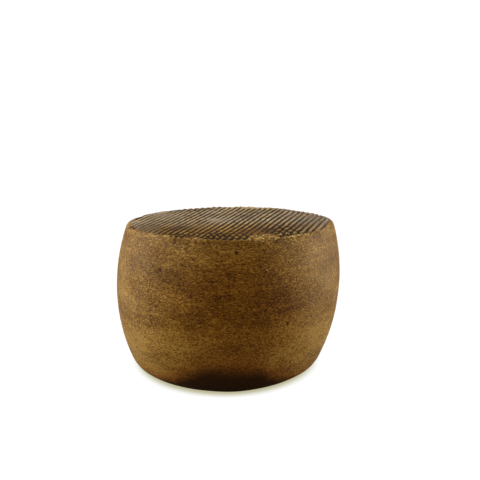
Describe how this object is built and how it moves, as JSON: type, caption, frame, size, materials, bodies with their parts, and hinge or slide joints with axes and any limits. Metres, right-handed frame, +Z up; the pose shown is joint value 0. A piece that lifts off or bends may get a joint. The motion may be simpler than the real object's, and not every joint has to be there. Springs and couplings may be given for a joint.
{
  "type": "cheese wheel",
  "caption": "Whole wheel of pressed, aged cheese with an oiled brown rind, bellied side, slumped lower edge and woven mat marks on both flat faces.",
  "frame": {"origin": "on the resting surface, under the middle of the wheel's outline seen from above", "axes": "+Z up through the wheel from the lower face to the upper one; -Y is the front that a viewer faces; +X is the viewer's right, and the way the upper face leans and rises"},
  "size_m": [0.2208, 0.2194, 0.1416],
  "materials": {
    "rind": "satin"
  },
  "bodies": {
    "root": {"cheese_wheel": "rind"}
  },
  "joints": []
}
